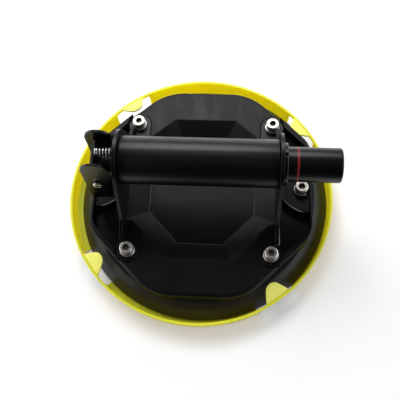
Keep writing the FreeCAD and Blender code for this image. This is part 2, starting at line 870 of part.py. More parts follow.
def make_gland_nut():
    face = bracket_outer + S.gland_flange
    body = on_handle_axis("gland_nut", [
        (gland_end_x, S.gland_bore), (gland_end_x, S.barrel_bore),
        (bracket_outer, S.barrel_bore), (bracket_outer, S.gland_radius),
        (face - S.edge_break, S.gland_radius), (face, S.gland_radius - S.edge_break),
        (face, S.gland_bore)])
    notch = sketch_on(body, "YZ_Plane", bracket_outer)
    low = S.gland_radius - S.gland_notch_depth
    half = S.gland_notch / 2
    outline(notch, [(-half, low), (half, low), (half, S.gland_radius + half),
                    (-half, S.gland_radius + half)])
    cut = pocket(body, notch, S.gland_flange + half, backwards=True)
    around = body.newObject("PartDesign::PolarPattern", "gland_nut_notches")
    around.Originals = [cut]
    axis = [f for f in body.Origin.OriginFeatures if f.Role == "X_Axis"][0]
    around.Axis = (axis, [""])
    around.Angle = 360
    around.Occurrences = 4
    body.Tip = around
    return body


def make_plunger():
    x0 = piston_face_x
    x1 = plunger_face_x
    r, wall = S.plunger_radius, S.plunger_wall
    ring = bracket_outer + S.gland_flange + S.ring_from_gland
    n = S.plunger_nose
    return on_handle_axis("plunger", [
        (x0, r - wall), (x0, r), (ring, r), (ring, r - S.ring_depth),
        (ring + S.ring_width, r - S.ring_depth), (ring + S.ring_width, r),
        (x1 - n, r), (x1, r - n, n, False), (x1, 0), (x1 - wall, 0),
        (x1 - wall, r - wall)])


def make_indicator_ring():
    ring = bracket_outer + S.gland_flange + S.ring_from_gland
    r = S.plunger_radius
    return on_handle_axis("indicator_ring", [
        (ring, r - S.ring_depth), (ring, r), (ring + S.ring_width, r),
        (ring + S.ring_width, r - S.ring_depth)])


def make_piston():
    # a plug that closes the plunger's inner end and carries the cup seal
    seal = piston_back_x + (S.piston_length - S.seal_width) / 2
    groove = seal_radius - S.seal_depth
    spigot = S.plunger_radius - S.plunger_wall - S.piston_fit
    return on_handle_axis("piston", [
        (piston_back_x, 0), (piston_back_x, S.piston_radius),
        (seal, S.piston_radius), (seal, groove), (seal + S.seal_width, groove),
        (seal + S.seal_width, S.piston_radius), (piston_face_x, S.piston_radius),
        (piston_face_x, spigot), (piston_face_x + S.piston_spigot, spigot),
        (piston_face_x + S.piston_spigot, 0)])


def make_piston_seal():
    seal = piston_back_x + (S.piston_length - S.seal_width) / 2
    inner = seal_radius - S.seal_depth
    return on_handle_axis("piston_seal", [
        (seal, inner), (seal, seal_radius - S.seal_depth / 2),
        (seal + S.seal_width / 2, seal_radius), (seal + S.seal_width, seal_radius),
        (seal + S.seal_width, inner)])


def make_return_spring():
    body = new_body("return_spring")
    first = head_face_x + S.return_wire / 2 + S.spring_gap
    last = piston_back_x - S.return_wire / 2 - S.spring_gap
    profile = circle(sketch_on(body, "XZ_Plane"), first, S.return_coil,
                     S.return_wire / 2)
    coil = body.newObject("PartDesign::AdditiveHelix", "return_spring_coil")
    coil.Profile = profile
    coil.ReferenceAxis = (profile, ["H_Axis"])
    coil.Mode = "height-turns-angle"
    coil.setExpression("Height", (last - first).text)
    coil.setExpression("Turns", S.return_turns.text)
    lift(body, z=S.handle_height)
    return body


# ---------------------------------------------------------------- barrel head

def make_barrel_head():
    body = new_body("barrel_head")
    ring = head_face_x - S.head_length / 2 - S.oring_wire
    low = seal_radius - 2 * S.oring_wire - S.oring_slack
    turn(body, outline(sketch_on(body, "XZ_Plane"), [
        (-S.bracket_inner, 0), (-S.bracket_inner, S.head_radius),
        (ring, S.head_radius), (ring, low), (ring + 2 * S.oring_wire, low),
        (ring + 2 * S.oring_wire, S.head_radius),
        (head_face_x, S.head_radius), (head_face_x, 0)]), "H_Axis")
    nose = circle(sketch_on(body, "YZ_Plane", nose_face_x), 0, -S.nose_drop,
                  S.nose_radius)
    pad(body, nose, S.nose_length + S.bracket_sheet + S.nose_root)
    # bore for the release stem and its chamber
    pocket(body, circle(sketch_on(body, "YZ_Plane", nose_face_x), 0, -S.nose_drop,
                        S.stem_radius + S.stem_fit), S.nose_length
           + S.bracket_sheet + S.head_length, backwards=True)
    pocket(body, circle(sketch_on(body, "YZ_Plane", head_face_x), 0, -S.nose_drop,
                        S.chamber_radius), S.chamber_depth)
    # seat of the brass bush round the stem
    pocket(body, circle(sketch_on(body, "YZ_Plane", nose_face_x), 0, -S.nose_drop,
                        S.bush_radius), S.bush_length, backwards=True)
    # hole of the flap valve's stalk
    pocket(body, circle(sketch_on(body, "YZ_Plane", head_face_x), 0, S.flap_rise,
                        S.flap_stem), S.head_length / 2)
    # port for the hose barb
    pocket(body, circle(sketch_on(body, "XY_Plane", -S.nose_drop), -S.hose_x, 0,
                        S.barb_radius), 2 * S.nose_radius)
    lift(body, z=S.handle_height)
    return body


def make_head_oring():
    body = new_body("head_oring")
    turn(body, circle(sketch_on(body, "XZ_Plane"), head_face_x - S.head_length / 2,
                      seal_radius - S.oring_wire, S.oring_wire), "H_Axis")
    lift(body, z=S.handle_height)
    return body


def make_stem_bush():
    inner = S.stem_radius + S.stem_fit
    x = nose_face_x
    body = new_body("stem_bush")
    turn(body, outline(sketch_on(body, "XZ_Plane"), [
        (x - S.bush_flange_sheet, inner), (x - S.bush_flange_sheet, S.bush_flange),
        (x, S.bush_flange), (x, S.bush_radius), (x + S.bush_length, S.bush_radius),
        (x + S.bush_length, inner)]), "H_Axis")
    lift(body, z=nose_z)
    return body


def make_release_stem():
    body = new_body("release_stem")
    tip = S.stem_reach_gap - S.lever_web_x
    head = head_face_x - S.chamber_depth + S.spring_gap
    turn(body, outline(sketch_on(body, "XZ_Plane"), [
        (tip, 0), (tip + S.edge_break, S.stem_radius), (head, S.stem_radius),
        (head, S.stem_head), (head + S.stem_head_sheet, S.stem_head),
        (head + S.stem_head_sheet, 0)]), "H_Axis")
    lift(body, z=nose_z)
    return body


def make_flap_valve():
    body = new_body("flap_valve")
    x = head_face_x
    turn(body, outline(sketch_on(body, "XZ_Plane"), [
        (x - S.head_length / 2, 0), (x - S.head_length / 2, S.flap_stem),
        (x, S.flap_stem), (x, S.flap_radius),
        (x + S.flap_sheet / 2, S.flap_radius), (x + S.flap_sheet, S.flap_stem),
        (x + S.flap_sheet, 0)]), "H_Axis")
    lift(body, z=S.handle_height + S.flap_rise)
    return body


# ---------------------------------------------------------------- release lever

def lever_side(sketch):
    """Side view of one cheek, drawn with -x towards the outside."""
    foot, r = lever_foot_z, S.lever_foot_round
    outline(sketch, [
        (-S.lever_near_x, lever_brow_z),
        (-S.lever_far_x, lever_brow_z, S.lever_head_round, True),
        (-S.lever_foot_far_x, foot + r),
        (r - S.lever_foot_far_x, foot, r, True),
        (-S.lever_foot_near_x - r, foot),
        (-S.lever_foot_near_x, foot + r, r, True)])
    return sketch


def make_release_lever():
    body = new_body("release_lever")
    width = 2 * (S.lever_inner + S.lever_sheet)
    pad(body, lever_side(sketch_on(body, "XZ_Plane")), width, symmetric=True)
    # the middle is cut away all round the web
    over = S.lever_head_round
    inner, outer = S.lever_web_x, S.lever_web_x + S.lever_sheet
    low, high = lever_foot_z - over, lever_top_z + over
    web_low, web_high = pivot_z + S.lever_web_low, pivot_z + S.lever_web_high
    for first, last, bottom, top in (
            (over - S.lever_near_x, -inner, low, high),
            (-outer, -S.lever_far_x - over, low, high),
            (-inner + S.pin_gap, -outer - S.pin_gap, low, web_low),
            (-inner + S.pin_gap, -outer - S.pin_gap, web_high, high)):
        room = outline(sketch_on(body, "XZ_Plane"), [
            (first, bottom), (first, top), (last, top), (last, bottom)])
        pocket(body, room, 2 * S.lever_inner, symmetric=True)
    pin = circle(sketch_on(body, "XZ_Plane"), -S.pivot_x, pivot_z,
                 S.pin_radius + S.pin_fit)
    pocket(body, pin, 2 * width, symmetric=True)
    return body


def make_lever_clevis():
    body = new_body("lever_clevis")
    half = clevis_half
    tip = S.pivot_x + S.clevis_reach
    low, high = clevis_low_z, clevis_high_z
    r = S.clevis_round
    ear = outline(sketch_on(body, "XZ_Plane"), [
        (-bracket_outer, low), (-bracket_outer, high), (r - tip, high),
        (-tip, high - r, r, True), (-tip, low + 2 * r), (r - tip, low)])
    pad(body, ear, 2 * half, symmetric=True)
    # between the ears only the riveted plate stays, and it ends under the nose
    base = bracket_outer + S.clevis_sheet
    for first, bottom in ((base, low - r), (S.bracket_inner, clevis_plate_z)):
        room = outline(sketch_on(body, "XZ_Plane"), [
            (-first, bottom), (-first, high + r), (-tip - r, high + r),
            (-tip - r, bottom)])
        pocket(body, room, 2 * (half - S.clevis_sheet), symmetric=True)
    pin = circle(sketch_on(body, "XZ_Plane"), -S.pivot_x, pivot_z,
                 S.pin_radius + S.pin_fit)
    pocket(body, pin, 4 * half, symmetric=True)
    rivets = sketch_on(body, "YZ_Plane", -bracket_outer)
    for sy in (-1, 1):
        circle(rivets, sy * rivet_y, rivet_z, S.rivet_radius)
    pocket(body, rivets, 4 * S.clevis_sheet, symmetric=True)
    return body


def make_clevis_rivets():
    bodies = []
    outer = bracket_outer + S.clevis_sheet
    for number, sy in enumerate((-1, 1)):
        body = new_body("rivet_%d" % number)
        turn(body, outline(sketch_on(body, "XZ_Plane"), [
            (-outer - S.rivet_head_height, 0), (-outer - S.rivet_head_height, S.rivet_radius),
            (-outer, S.rivet_head), (-outer, S.rivet_radius),
            (-S.bracket_inner, S.rivet_radius), (-S.bracket_inner, 0)]), "H_Axis")
        lift(body, y=sy * rivet_y, z=rivet_z)
        bodies.append(body)
    return group("clevis_rivets", bodies)


def make_pivot_pin():
    # shoulder screw with its head on the front cheek, y negative
    body = new_body("pivot_pin")
    face = S.lever_inner + S.lever_sheet + S.pin_gap
    far = face + S.pin_nut_height
    r, head = S.pin_radius, S.pin_head_radius
    turn(body, outline(sketch_on(body, "YZ_Plane"), [
        (-face - S.pin_head_height, 0), (-face - S.pin_head_height, head - S.edge_break),
        (S.edge_break - face - S.pin_head_height, head), (-face, head), (-face, r),
        (far, r), (far, 0)]), "H_Axis")
    socket = hexagon(sketch_on(body, "XZ_Plane", face + S.pin_head_height), 0, 0,
                     S.pin_socket)
    pocket(body, socket, S.pin_socket_depth)
    lift(body, x=-S.pivot_x, z=pivot_z)
    return body


def make_pivot_nut():
    body = new_body("pivot_nut")
    face = S.lever_inner + S.lever_sheet + S.pin_gap
    ring = hexagon(sketch_on(body, "XZ_Plane", -face), 0, 0, S.pin_nut_flats)
    circle(ring, 0, 0, S.pin_radius + S.stem_fit)
    pad(body, ring, S.pin_nut_height, backwards=True)
    lift(body, x=-S.pivot_x, z=pivot_z)
    return body


def make_spring_post():
    body = new_body("spring_post")
    x = bracket_outer
    turn(body, outline(sketch_on(body, "XZ_Plane"), [
        (-x - S.post_length, 0), (-x - S.post_length, S.post_radius - S.edge_break),
        (S.edge_break - x - S.post_length, S.post_radius), (-x, S.post_radius), (-x, 0)]),
        "H_Axis")
    lift(body, z=spring_z)
    return body


def make_lever_spring():
    body = new_body("lever_spring")
    half = S.spring_wire / 2
    first = bracket_outer + S.spring_gap + half
    last = S.lever_web_x - S.spring_gap - half
    profile = circle(sketch_on(body, "XZ_Plane"), -last, S.spring_coil, half)
    coil = body.newObject("PartDesign::AdditiveHelix", "lever_spring_coil")
    coil.Profile = profile
    coil.ReferenceAxis = (profile, ["H_Axis"])
    coil.Mode = "height-turns-angle"
    coil.setExpression("Height", (last - first).text)
    coil.setExpression("Turns", S.spring_turns.text)
    lift(body, z=spring_z)
    return body


# ---------------------------------------------------------------- vacuum line

def make_nose_barb():
    # screwed up into the nose, ending inside the hose
    body = new_body("nose_barb")
    top = nose_z - math.sqrt(0.75) * S.nose_radius
    flange = nose_z - S.nose_radius
    r, bore = S.barb_radius, S.barb_bore
    low = flange - S.barb_flange_sheet - S.barb_length
    turn(body, outline(sketch_on(body, "XZ_Plane"), [
        (bore, low), (r - S.edge_break, low), (r, low + S.barb_taper), (r, flange - S.barb_flange_sheet),
        (S.barb_flange, flange - S.barb_flange_sheet), (S.barb_flange, flange),
        (r, flange), (r, flange + S.barb_thread), (bore, flange + S.barb_thread)]),
        "V_Axis")
    lift(body, x=-S.hose_x)
    return body


def make_port_fitting():
    body = new_body("port_fitting")
    top = island_z + S.port_hex_height
    r, bore = S.barb_radius, S.barb_bore
    pad(body, hexagon(sketch_on(body, "XY_Plane", island_z), 0, 0, S.port_hex,
                      turned=True), S.port_hex_height)
    turn(body, outline(sketch_on(body, "XZ_Plane"), [
        (0, island_z - S.barb_thread), (r, island_z - S.barb_thread),
        (r, top + S.barb_length - S.barb_taper), (r - S.edge_break, top + S.barb_length),
        (0, top + S.barb_length)]), "V_Axis")
    hole = circle(sketch_on(body, "XY_Plane", island_z), 0, 0, bore)
    pocket(body, hole, 4 * S.barb_length, symmetric=True)
    lift(body, x=-S.hose_x)
    return body


def make_vacuum_hose():
    body = new_body("vacuum_hose")
    low = island_z + S.port_hex_height
    high = nose_z - S.nose_radius - S.barb_flange_sheet
    ring = circle(sketch_on(body, "XY_Plane", low), 0, 0, S.hose_radius)
    circle(ring, 0, 0, S.hose_bore)
    pad(body, ring, high - low)
    lift(body, x=-S.hose_x)
    return body


for maker in (make_pad_cover, make_vacuum_pad, make_filter_disc, make_pad_plate,
              make_base_body, make_screws, make_washers, make_nuts):
    parts.append(maker())
parts.append(make_bracket("left_bracket", -1))
parts.append(make_bracket("right_bracket", 1))
for maker in (make_handle_tube, make_pump_barrel, make_gland_nut, make_plunger,
              make_indicator_ring, make_piston, make_piston_seal, make_return_spring,
              make_barrel_head, make_head_oring, make_stem_bush, make_release_stem, make_flap_valve,
              make_release_lever, make_lever_clevis, make_clevis_rivets,
              make_pivot_pin, make_pivot_nut, make_spring_post, make_lever_spring,
              make_nose_barb, make_port_fitting, make_vacuum_hose):
    parts.append(maker())

# ---------------------------------------------------------------- write

doc.recompute()
for thing in doc.Objects:
    if "Invalid" in thing.State or "Error" in thing.State:
        raise RuntimeError("%s is %s" % (thing.Label, thing.State))
os.makedirs("parts", exist_ok=True)
for part in parts:
    shape = part.Shape
    if shape.isNull() or not shape.isValid():
        raise RuntimeError(part.Label + " has no valid shape")
    shape.exportStep("parts/%s.step" % part.Label)
    box = shape.BoundBox
    print("%-18s %2d solids %9.0f mm3  x %6.1f %6.1f  y %6.1f %6.1f  z %6.1f %6.1f" % (
        part.Label, len(shape.Solids), shape.Volume,
        box.XMin, box.XMax, box.YMin, box.YMax, box.ZMin, box.ZMax))
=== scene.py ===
# %% [markdown]
# # A hand-pump vacuum lifter in its yellow pad cover
#
# This lesson dresses a finished CAD model. The shapes of the hard pieces
# come with the frame; the lesson gives each of them a finish, rounds their
# edges, and models the pieces that a CAD solid can't show well: the rubber
# pad and the two coil springs. Everything is in metres, with the origin at
# the middle of the cover's underside and +X towards the pump's plunger.

# %% Load the frame
import math
import bmesh
import bpy
from mathutils import Matrix, Vector


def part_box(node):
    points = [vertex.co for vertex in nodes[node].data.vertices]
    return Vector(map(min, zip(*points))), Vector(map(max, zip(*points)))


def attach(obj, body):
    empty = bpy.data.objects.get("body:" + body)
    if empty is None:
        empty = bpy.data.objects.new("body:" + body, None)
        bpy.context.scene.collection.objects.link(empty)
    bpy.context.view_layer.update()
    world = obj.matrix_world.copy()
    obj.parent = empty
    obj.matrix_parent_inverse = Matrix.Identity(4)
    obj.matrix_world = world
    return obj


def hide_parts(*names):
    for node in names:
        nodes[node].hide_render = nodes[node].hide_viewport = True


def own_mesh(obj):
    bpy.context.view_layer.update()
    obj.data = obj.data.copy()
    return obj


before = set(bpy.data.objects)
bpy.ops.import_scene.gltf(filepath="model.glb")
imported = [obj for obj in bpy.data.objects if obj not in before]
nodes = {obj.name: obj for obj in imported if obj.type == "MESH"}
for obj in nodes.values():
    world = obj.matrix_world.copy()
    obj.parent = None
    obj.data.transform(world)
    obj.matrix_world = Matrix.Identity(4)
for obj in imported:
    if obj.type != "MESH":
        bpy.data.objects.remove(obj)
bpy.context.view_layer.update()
MM = 0.001

# %% [markdown]
# ## Camera
#
# The lifter is seen from steeply above its front, as a product lies on a
# table. A long lens, far away, keeps the round cover nearly round. The
# camera is placed by the angle that it looks from, the point that it aims
# at and its distance, and then it is rolled a little about its own line of
# sight.

# %% Place the camera
def look_from(azimuth, elevation, roll, aim, distance, lens):
    """A camera that looks at aim from an azimuth and an elevation, in degrees."""
    a, e, r = (math.radians(v) for v in (azimuth, elevation, roll))
    back = Vector((math.sin(a) * math.cos(e), -math.cos(a) * math.cos(e), math.sin(e)))
    right = Vector((math.cos(a), math.sin(a), 0))
    up = back.cross(right)
    tilted = math.cos(r) * right - math.sin(r) * up
    camera = bpy.data.objects.new("camera", bpy.data.cameras.new("camera"))
    bpy.context.scene.collection.objects.link(camera)
    turn = Matrix((tilted, back.cross(tilted), back)).transposed()
    camera.matrix_world = Matrix.Translation(aim + back * distance) @ turn.to_4x4()
    camera.data.lens = lens
    bpy.context.scene.camera = camera
    return camera


camera = look_from(10.01, 68.0, 7.48, Vector((-3.3, 0.5, 0.4)) * MM, 511.7 * MM, 54.2)
bpy.context.scene.view_settings.view_transform = "Standard"
print("camera at", [round(v / MM) for v in camera.matrix_world.translation], "mm")

# %% [markdown]
# ## Shader maths in plain Python
#
# A finish is a small sum of noises, masks and colours. Written as nodes it
# is hard to read, so a thin class wraps an output socket and lets Python's
# own + - * stand for Math nodes. One method makes every other node.

# %% Wrap a socket, and make nodes with one method
class Wire:
    """An output socket that can be added to, taken from and multiplied."""

    def __init__(self, finish, socket):
        self.finish = finish
        self.socket = socket

    def math(self, operation, *values):
        return self.finish.node("ShaderNodeMath", {"operation": operation}, values)

    def __add__(self, other):
        return self.math("ADD", self, other)

    __radd__ = __add__

    def __sub__(self, other):
        return self.math("SUBTRACT", self, other)

    def __rsub__(self, other):
        return self.math("SUBTRACT", other, self)

    def __mul__(self, other):
        return self.math("MULTIPLY", self, other)

    __rmul__ = __mul__


class Finish:
    """The node tree of a material or of the world."""

    def __init__(self, tree):
        self.tree = tree
        tree.nodes.clear()

    def node(self, kind, settings=None, values=(), output=0):
        """One node: its settings first, then the values or wires of its inputs."""
        made = self.tree.nodes.new(kind)
        for name, value in (settings or {}).items():
            setattr(made, name, value)
        pairs = values.items() if isinstance(values, dict) else enumerate(values)
        for name, value in pairs:
            if isinstance(value, Wire):
                self.tree.links.new(value.socket, made.inputs[name])
            elif isinstance(value, tuple) and len(value) == 3 and \
                    made.inputs[name].type == "RGBA":
                made.inputs[name].default_value = (*value, 1)
            else:
                made.inputs[name].default_value = value
        return Wire(self, made.outputs[output]) if made.outputs else made

    def place(self):
        """Where a point lies on its own piece, in metres."""
        return self.node("ShaderNodeTexCoord", output="Object")

    def along(self, axis, where=None):
        """One coordinate of a place."""
        return self.node("ShaderNodeSeparateXYZ", None, [where or self.place()], axis)

    def noise(self, size, detail=2.0, stretch=(1, 1, 1), rough=0.5):
        """Cloudy noise from 0 to 1 whose blobs are size metres across."""
        scaled = self.node("ShaderNodeVectorMath", {"operation": "MULTIPLY"},
                           [self.place(), tuple(1 / s for s in stretch)])
        values = {"Vector": scaled, "Scale": 1 / size, "Detail": detail,
                  "Roughness": rough}
        return self.node("ShaderNodeTexNoise", None, values)

    def step(self, value, low, high):
        """0 below low, 1 above high and smooth between them."""
        settings = {"interpolation_type": "SMOOTHSTEP"}
        values = {"Value": value, "From Min": low, "From Max": high}
        return self.node("ShaderNodeMapRange", settings, values)

    def mix(self, share, first, second):
        """A colour between two colours."""
        return self.node("ShaderNodeMix", {"data_type": "RGBA"},
                         {0: share, 6: first, 7: second}, 2)

    def bump(self, height, depth, soft_edge=0.0):
        """Small relief: height from 0 to 1 stands for depth metres."""
        values = {"Height": height, "Distance": depth, "Strength": 1.0}
        if soft_edge:
            values["Normal"] = self.node("ShaderNodeBevel", {"samples": 8},
                                         {"Radius": soft_edge})
        return self.node("ShaderNodeBump", None, values)

    def rays(self):
        """Masks for rays of the camera, of gloss, of glass and of any of the three."""
        seen, mirrored, through = (
            self.node("ShaderNodeLightPath", output="Is %s Ray" % kind)
            for kind in ("Camera", "Glossy", "Transmission"))
        anyone = seen + mirrored + through
        return seen, mirrored, through, anyone.math("MINIMUM", anyone, 1.0)

    def plastic(self, **sockets):
        """A Principled shader; a socket's name has _ for a space."""
        values = {name.replace("_", " ").title().replace("Ior", "IOR"): value
                  for name, value in sockets.items()}
        return self.node("ShaderNodeBsdfPrincipled", None, values)

    def shine(self, **sockets):
        """One Principled shader as the whole surface."""
        return self.node("ShaderNodeOutputMaterial", None, [self.plastic(**sockets)])


def material(name):
    """A new, empty material and its finish."""
    made = bpy.data.materials.new(name)
    made.use_nodes = True
    return made, Finish(made.node_tree)


def dress(made, *names):
    """Put a material on the CAD nodes of these names."""
    for name in names:
        for slot in nodes[name].material_slots:
            slot.material = made
    print("finish", made.name, "on", ", ".join(names))


# %% [markdown]
# ## Yellow cover
#
# The cover is moulded from glossy yellow polypropylene, a plastic that lets
# a little light through. The wall is deep yellow and glows where light
# comes from behind it. The four thin hooks lie over black rubber, face up
# into the light and let hardly any light through. Their colour is painted
# paler than the wall: a painted sheen, the light that their upturned faces
# catch. So there are two finishes, and the mask between them is simply
# the height above the rim.

# %% Yellow plastic
RIM_TOP = 15.9 * MM
HOOK_START = 16.8 * MM


def yellow_plastic():
    made, f = material("yellow_plastic")
    hook = f.step(f.along("Z"), RIM_TOP, HOOK_START)
    cloud = f.noise(30 * MM, 3)
    relief = f.noise(0.9 * MM, 2) * 0.6 + f.noise(6 * MM, 1) * 0.4
    rough = 0.34 + 0.12 * f.noise(4 * MM, 3)
    skin = f.bump(relief, 0.02 * MM)
    wall = f.plastic(
        base_color=f.mix(cloud, (0.96, 0.72, 0.016), (0.98, 0.76, 0.024)),
        roughness=rough, normal=skin, specular_ior_level=0.4,
        subsurface_weight=1.0, subsurface_radius=(0.014, 0.010, 0.001),
        subsurface_scale=1.0)
    # The hooks' paler colour is painted sheen: the light that their upturned faces catch.
    painted_sheen_hooks = f.plastic(
        base_color=f.mix(cloud, (0.93, 0.89, 0.15), (0.97, 0.94, 0.20)),
        roughness=rough, normal=skin, specular_ior_level=0.4,
        subsurface_weight=0.2, subsurface_radius=(0.004, 0.003, 0.001),
        subsurface_scale=1.0)
    f.node("ShaderNodeOutputMaterial", None,
           [f.node("ShaderNodeMixShader", None, [hook, wall, painted_sheen_hooks])])
    return made


dress(yellow_plastic(), "pad_cover")

# %% [markdown]
# ## Black finishes
#
# Nearly all the rest is black, yet no two blacks are alike. The nylon base
# has a fine sparked texture, the brackets have an orange-peel powder coat,
# the tube is smooth and satin. Colour hardly tells them apart, so the
# difference is made by roughness and by the size of the relief. Long edges
# are rounded by a Bevel node in the shader, which only bends the normal.

# %% Black finishes for hard pieces
def black_finish(name, colour, rough, grain, depth, spec=0.5, stretch=(1, 1, 1),
                 edge=0.0, rubbed=0.0):
    """A black surface: grain is its relief's size, depth its height, edge its
    rounding, and rubbed how much smoother it is where hands have wiped it."""
    made, f = material(name)
    patches = f.noise(14 * MM, 4)
    fine = f.noise(grain, 2, stretch)
    lighter = tuple(c * 1.6 + 0.0004 for c in colour)
    roughness = rough - 0.05 + 0.07 * patches + 0.06 * fine
    if rubbed:
        wiped = f.step(f.noise(26 * MM, 6, (0.5, 1.6, 1)), 0.46, 0.66)
        roughness = roughness - rubbed * wiped
    f.shine(base_color=f.mix(patches, colour, lighter), roughness=roughness,
            normal=f.bump(fine, depth, edge), specular_ior_level=spec)
    return made


NYLON = (0.0014, 0.0014, 0.0016)
PAINT = (0.0006, 0.0006, 0.0007)
dress(black_finish("moulded_nylon", NYLON, 0.46, 0.5 * MM, 0.02 * MM, 0.28,
                   edge=1.6 * MM, rubbed=0.09), "base_body")
dress(black_finish("powder_coat", PAINT, 0.34, 0.8 * MM, 0.015 * MM, 0.4,
                   edge=0.5 * MM),
      "left_bracket", "right_bracket", "lever_clevis", "spring_post")
dress(black_finish("lever_paint", PAINT, 0.28, 0.9 * MM, 0.010 * MM, 0.32,
                   edge=0.5 * MM), "release_lever")
dress(black_finish("satin_tube", PAINT, 0.35, 0.25 * MM, 0.004 * MM, 0.5,
                   (1, 14, 14)), "handle_tube", "barrel_head")
dress(black_finish("turned_plastic", PAINT, 0.32, 0.3 * MM, 0.004 * MM, 0.45,
                   (0.3, 8, 8)), "plunger", "gland_nut", "piston")

# %% [markdown]
# ## Bright metal
#
# The screws are nickel plated: a mirror with faint clouds where the plating
# is thicker. The spring is drawn wire, whose die leaves lines along it, and
# the stem and its fittings are brass. Where little light gets in, such as
# the sockets of the screws and the gap under their heads, an Ambient
# Occlusion node mixes a dull brown into the metal: painted shade.

# %% Metals
# Painted shade: the dull brown that the metal takes in its hollows.
SHADE_BROWN = (0.045, 0.030, 0.018)


def metal(name, colour, rough, stretch=(1, 1, 1)):
    made, f = material(name)
    haze = f.noise(2.5 * MM, 3)
    lines = f.noise(0.35 * MM, 2, stretch)
    darker = tuple(c * 0.86 for c in colour)
    # How open a point is; where it is enclosed, painted shade darkens the metal.
    open_to_light = f.node("ShaderNodeAmbientOcclusion", {"samples": 8},
                      {"Distance": 4 * MM}, "AO")
    unshaded = f.step(open_to_light, 0.35, 0.75)
    f.shine(base_color=f.mix(unshaded, SHADE_BROWN, f.mix(haze, colour, darker)), metallic=1.0,
            roughness=rough + 0.10 * haze + 0.05 * lines + 0.25 * (1 - unshaded),
            normal=f.bump(lines, 0.002 * MM))
    return made


nickel = metal("nickel_plate", (0.95, 0.89, 0.81), 0.25)
brass = metal("turned_brass", (0.78, 0.56, 0.30), 0.22, (0.3, 4, 4))
dress(nickel, "mounting_screws", "screw_washers", "plate_nuts", "pivot_pin",
      "pivot_nut", "clevis_rivets")
dress(brass, "stem_bush", "release_stem", "nose_barb", "port_fitting")
dress(metal("drawn_aluminium", (0.62, 0.62, 0.64), 0.3, (6, 1, 1)), "pump_barrel")
dress(metal("zinc_plate", (0.58, 0.58, 0.60), 0.34), "pad_plate")

# %% [markdown]
# ## Small pieces of rubber, felt and red plastic
#
# The hose, the seals and the flap are black rubber, duller than any paint.
# The warning ring is dark red and glossy. The filter is pale felt and lies
# under the pad, where only its underside can be seen.

# %% Rubber, felt and the red ring
def rubber(name, colour, rough):
    made, f = material(name)
    bloom = f.noise(9 * MM, 5, rough=0.6)
    pores = f.noise(0.35 * MM, 2)
    dusty = tuple(c * 1.9 + 0.003 for c in colour)
    f.shine(base_color=f.mix(bloom, colour, dusty),
            roughness=rough - 0.06 + 0.14 * bloom,
            normal=f.bump(0.5 * bloom + 0.5 * pores, 0.03 * MM),
            specular_ior_level=0.4)
    return made


dress(rubber("hose_rubber", (0.014, 0.014, 0.014), 0.5),
      "vacuum_hose", "piston_seal", "head_oring", "flap_valve")


def red_ring():
    made, f = material("red_ring")
    mottle = f.noise(1.5 * MM, 3)
    f.shine(base_color=f.mix(mottle, (0.15, 0.006, 0.007), (0.20, 0.010, 0.010)),
            roughness=0.3 + 0.1 * mottle, normal=f.bump(mottle, 0.01 * MM))
    return made


def felt():
    made, f = material("felt")
    fibres = f.noise(0.3 * MM, 4, (4, 1, 1))
    f.shine(base_color=f.mix(fibres, (0.42, 0.41, 0.38), (0.66, 0.65, 0.61)),
            roughness=0.9, normal=f.bump(fibres, 0.15 * MM))
    return made


dress(red_ring(), "indicator_ring")
dress(felt(), "filter_disc")

# %% [markdown]
# ## Rounded edges
#
# A CAD edge has no width, so it never catches the light, and a model with
# such edges looks like paper. On the cover and the small bright pieces, a
# Bevel modifier rounds every sharp edge by a fraction of a millimetre. The
# imported mesh is split along its sharp edges, so a Weld modifier first
# joins it again.

# %% Round the sharp edges of the CAD pieces
def round_edges(width, *names):
    for name in names:
        piece = nodes[name]
        weld = piece.modifiers.new("join", "WELD")
        weld.merge_threshold = 0.002 * MM
        bevel = piece.modifiers.new("round", "BEVEL")
        bevel.width = width
        bevel.segments = 2
        bevel.limit_method = "ANGLE"
        bevel.angle_limit = math.radians(32)
        bevel.harden_normals = True
        bevel.use_clamp_overlap = True
    print("rounded by", round(width / MM, 2), "mm:", ", ".join(names))


round_edges(0.3 * MM, "pad_cover")
round_edges(1.2 * MM, "screw_washers")
round_edges(0.2 * MM, "mounting_screws", "gland_nut", "handle_tube", "pivot_pin",
            "pivot_nut", "port_fitting")

# %% [markdown]
# ## Rubber pad
#
# The pad is moulded rubber: a thick rim that ends in a soft lip, and low
# ribs underneath. Rubber has no sharp corner anywhere, so the pad is turned
# here from a smooth outline with many points instead of being a plain
# solid. It keeps the CAD solid's outer size, so it still fits the cover.

# %% Turn a closed outline about the vertical axis
def lathe(name, outline, segments):
    """A ring with this closed (radius, height) outline."""
    mesh = bpy.data.meshes.new(name)
    piece = bpy.data.objects.new(name, mesh)
    bpy.context.scene.collection.objects.link(piece)
    shape = bmesh.new()
    rings = []
    for number in range(segments):
        turn = 2 * math.pi * number / segments
        rings.append([shape.verts.new((r * math.cos(turn), r * math.sin(turn), z))
                      for r, z in outline])
    count = len(outline)
    for number in range(segments):
        here, there = rings[number], rings[(number + 1) % segments]
        for index in range(count):
            after = (index + 1) % count
            face = shape.faces.new((here[index], there[index],
                                    there[after], here[after]))
            face.smooth = True
    bmesh.ops.recalc_face_normals(shape, faces=shape.faces)
    shape.to_mesh(mesh)
    shape.free()
    return piece


def smooth_outline(corners, steps):
    """A closed curve near the corners: each is cut by a quadratic bend."""
    points = []
    count = len(corners)
    for index in range(count):
        before = Vector(corners[index - 1])
        corner = Vector(corners[index])
        after = Vector(corners[(index + 1) % count])
        start, end = (before + corner) / 2, (corner + after) / 2
        for step in range(steps):
            t = step / steps
            points.append(tuple((1 - t) ** 2 * start + 2 * t * (1 - t) * corner
                                + t ** 2 * end))
    return points


